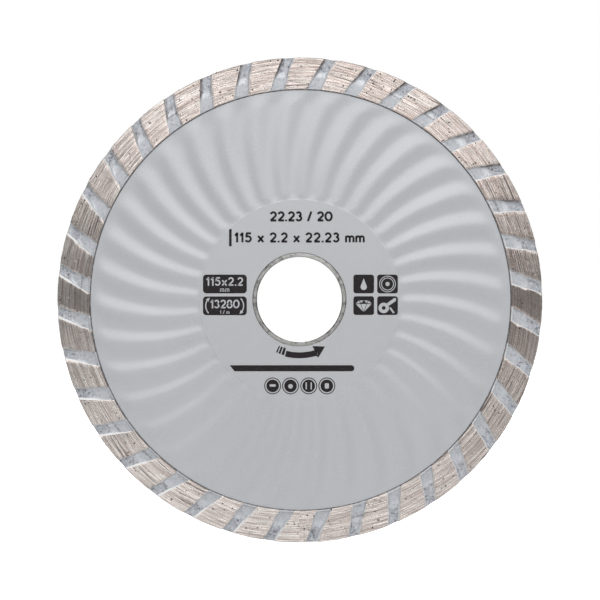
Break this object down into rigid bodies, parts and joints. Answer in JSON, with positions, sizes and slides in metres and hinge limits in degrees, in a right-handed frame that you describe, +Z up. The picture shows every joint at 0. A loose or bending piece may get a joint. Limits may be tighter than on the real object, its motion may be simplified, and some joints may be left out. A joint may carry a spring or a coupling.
{
  "type": "diamond blade",
  "caption": "Round turbo-rim diamond cutting disc with a waved steel core, slanted rim grooves and a loose reducing ring in the bore.",
  "frame": {"origin": "centre of the bore, in the middle of the blade's thickness", "axes": "+Y along the spin axis, away from the printed face, which looks towards -Y; +Z up across the face, as the print reads; +X to the right of the printed face"},
  "size_m": [0.1152, 0.0024, 0.1151],
  "materials": {
    "core_paint": "satin silver grey",
    "sintered_metal": "ground sintered metal, warm grey",
    "diamond": "dark yellowish brown crystals",
    "bare_steel": "machined",
    "ink": "matt near-black ink film"
  },
  "bodies": {
    "blade": {"steel_core": "core_paint", "turbo_rim": "sintered_metal", "diamond_grit": "diamond", "face_print": "ink"},
    "ring": {"reducing_ring": "bare_steel"}
  },
  "joints": [
    {"name": "ring_press_out", "type": "slide", "parent": "blade", "child": "ring", "axis": [0, 1, 0], "range_m": [-0.012, 0.012]}
  ]
}
